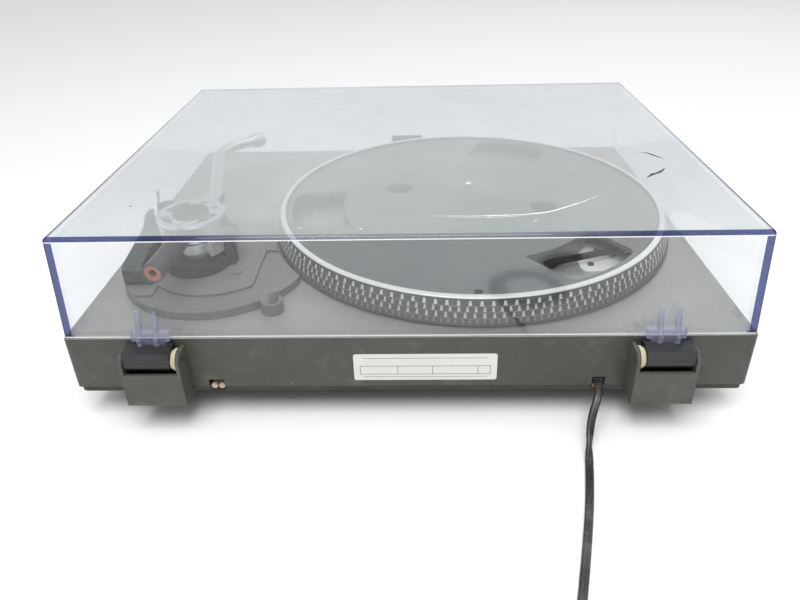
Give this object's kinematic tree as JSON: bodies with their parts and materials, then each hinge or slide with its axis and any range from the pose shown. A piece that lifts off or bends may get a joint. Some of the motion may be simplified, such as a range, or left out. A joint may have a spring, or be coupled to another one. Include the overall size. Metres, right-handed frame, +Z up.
{
  "type": "turntable record player",
  "caption": "Belt-drive record player with a hinged clear dust cover, cast platter with a strobe rim, S-shaped tonearm on a gimbal, control strip and free mains cord",
  "frame": {"origin": "centre of the bottom of the object's box without its free cord, on the surface the feet stand on", "axes": "+Z up, the control strip faces -Y, the hinges and the cord are at +Y, the tonearm is on the +X side"},
  "size_m": [0.43, 0.5806, 0.133],
  "materials": {
    "cabinet_grey": "fine moulded texture",
    "cover_black": "matte",
    "foot_rubber": "matte",
    "panel_metal": "brushed",
    "label_foil": "satin",
    "pin_steel": "ground",
    "spring_cream": "satin",
    "clear_cover": "clear, lightly scratched",
    "black_plastic": "satin",
    "badge_metal": "brushed",
    "platter_metal": "cast and turned",
    "polished_steel": "polished",
    "bearing_brass": "machined",
    "belt_rubber": "matte",
    "motor_case": "satin",
    "plate_metal": "satin",
    "screw_steel": "plated",
    "board_green": "laminate",
    "core_iron": "varnished",
    "board_grey": "satin",
    "gimbal_silver": "satin anodised",
    "dark_metal": "satin",
    "ring_orange": "satin",
    "lamp_red": "translucent",
    "lead_cream": "matte",
    "relief_brown": "satin",
    "cord_pvc": "satin"
  },
  "bodies": {
    "cabinet": {"plinth": "cabinet_grey", "bottom_cover": "cover_black", "foot_front_left": "foot_rubber", "foot_front_right": "foot_rubber", "foot_rear_left": "foot_rubber", "foot_rear_right": "foot_rubber", "control_panel": "panel_metal", "rear_label": "label_foil", "hinge_housing_left": "cabinet_grey", "hinge_housing_right": "cabinet_grey", "hinge_pins": "pin_steel", "hinge_springs": "spring_cream", "bearing_housing": "bearing_brass", "thrust_ball": "polished_steel", "drive_belt": "belt_rubber", "motor": "motor_case", "motor_plate": "plate_metal", "motor_screws": "screw_steel", "servo_board": "board_green", "transformer": "core_iron", "arm_board": "board_grey", "arm_base": "black_plastic", "gimbal_frame": "gimbal_silver", "arm_bearing_cap": "black_plastic", "arm_side_housing": "board_grey", "lifter_cylinder": "black_plastic", "arm_rest": "black_plastic", "headshell_holder": "board_grey", "transit_cap": "board_grey", "strobe_lamp": "lamp_red", "bottom_screws": "screw_steel", "signal_stubs": "lead_cream", "strain_relief": "relief_brown", "power_cord": "cord_pvc", "cord_coil": "cord_pvc", "power_plug": "black_plastic"},
    "lid": {"dust_cover": "clear_cover", "hinge_block_left": "black_plastic", "hinge_block_right": "black_plastic", "cover_badge": "badge_metal", "cover_buffers": "foot_rubber"},
    "platter": {"platter": "platter_metal", "spindle": "polished_steel"},
    "pulley": {"motor_pulley": "bearing_brass"},
    "arm_swing": {"arm_yoke": "gimbal_silver"},
    "arm_lift": {"arm_hub": "gimbal_silver", "arm_tube": "polished_steel", "arm_connector": "bearing_brass", "counterweight_stub": "dark_metal", "stub_ring": "ring_orange"},
    "collar": {"arm_collar": "polished_steel"},
    "lifter": {"arm_lifter": "dark_metal"},
    "lever": {"cueing_lever": "polished_steel"},
    "anti_skate": {"anti_skate_dial": "black_plastic"},
    "pitch": {"pitch_knob": "panel_metal"},
    "speed_33": {"speed_button_33": "panel_metal"},
    "speed_45": {"speed_button_45": "panel_metal"},
    "stop": {"stop_button": "panel_metal"},
    "power": {"power_button": "panel_metal"}
  },
  "joints": [
    {"name": "lid_hinge", "type": "hinge", "parent": "cabinet", "child": "lid", "pos_m": [0, 0.18, 0.054], "axis": [-1, 0, 0], "range_deg": [0, 65]},
    {"name": "platter_turn", "type": "hinge", "parent": "cabinet", "child": "platter", "pos_m": [-0.049, 0.009, 0.0824], "axis": [0, 0, 1], "continuous": true},
    {"name": "pulley_turn", "type": "hinge", "parent": "cabinet", "child": "pulley", "pos_m": [-0.16202, 0.06909, 0.0725], "axis": [0, 0, 1], "continuous": true},
    {"name": "arm_swing", "type": "hinge", "parent": "cabinet", "child": "arm_swing", "pos_m": [0.15, 0.0905, 0.1026], "axis": [0, 0, -1], "range_deg": [0, 44]},
    {"name": "arm_lift", "type": "hinge", "parent": "arm_swing", "child": "arm_lift", "pos_m": [0.15, 0.0905, 0.1026], "axis": [-0.9976, 0.0698, 0], "range_deg": [0, 5]},
    {"name": "collar_turn", "type": "hinge", "parent": "arm_lift", "child": "collar", "pos_m": [0.14074, -0.08618, 0.1026], "axis": [-0.766, -0.6428, 0], "range_deg": [0, 50]},
    {"name": "lifter_slide", "type": "slide", "parent": "cabinet", "child": "lifter", "axis": [0, 0, 1], "range_m": [0, 0.0048]},
    {"name": "lever_tilt", "type": "hinge", "parent": "cabinet", "child": "lever", "pos_m": [0.1849, 0.064, 0.097], "axis": [-1, 0, 0], "range_deg": [0, 35.1]},
    {"name": "anti_skate_turn", "type": "hinge", "parent": "cabinet", "child": "anti_skate", "pos_m": [0.1772, 0.0625, 0.103], "axis": [0, 0, 1], "range_deg": [-135, 135]},
    {"name": "pitch_turn", "type": "hinge", "parent": "cabinet", "child": "pitch", "pos_m": [0.005, -0.1735, 0.052], "axis": [0, -0.6508, 0.7593], "range_deg": [-140, 140]},
    {"name": "power_press", "type": "slide", "parent": "cabinet", "child": "power", "axis": [0, 0.6508, -0.7593], "range_m": [0, 0.002], "stiffness_N_per_m": 250, "springref_m": -0.002},
    {"name": "speed_33_press", "type": "slide", "parent": "cabinet", "child": "speed_33", "axis": [0, 0.6508, -0.7593], "range_m": [0, 0.002], "stiffness_N_per_m": 250, "springref_m": -0.002},
    {"name": "speed_45_press", "type": "slide", "parent": "cabinet", "child": "speed_45", "axis": [0, 0.6508, -0.7593], "range_m": [0, 0.002], "stiffness_N_per_m": 250, "springref_m": -0.002},
    {"name": "stop_press", "type": "slide", "parent": "cabinet", "child": "stop", "axis": [0, 0.6508, -0.7593], "range_m": [0, 0.002], "stiffness_N_per_m": 250, "springref_m": -0.002}
  ],
  "couplings": [
    {"joint": "pulley_turn", "follows": "platter_turn", "ratio": 14.926},
    {"joint": "lever_tilt", "follows": "lifter_slide", "rad_per_m": 127.26}
  ]
}
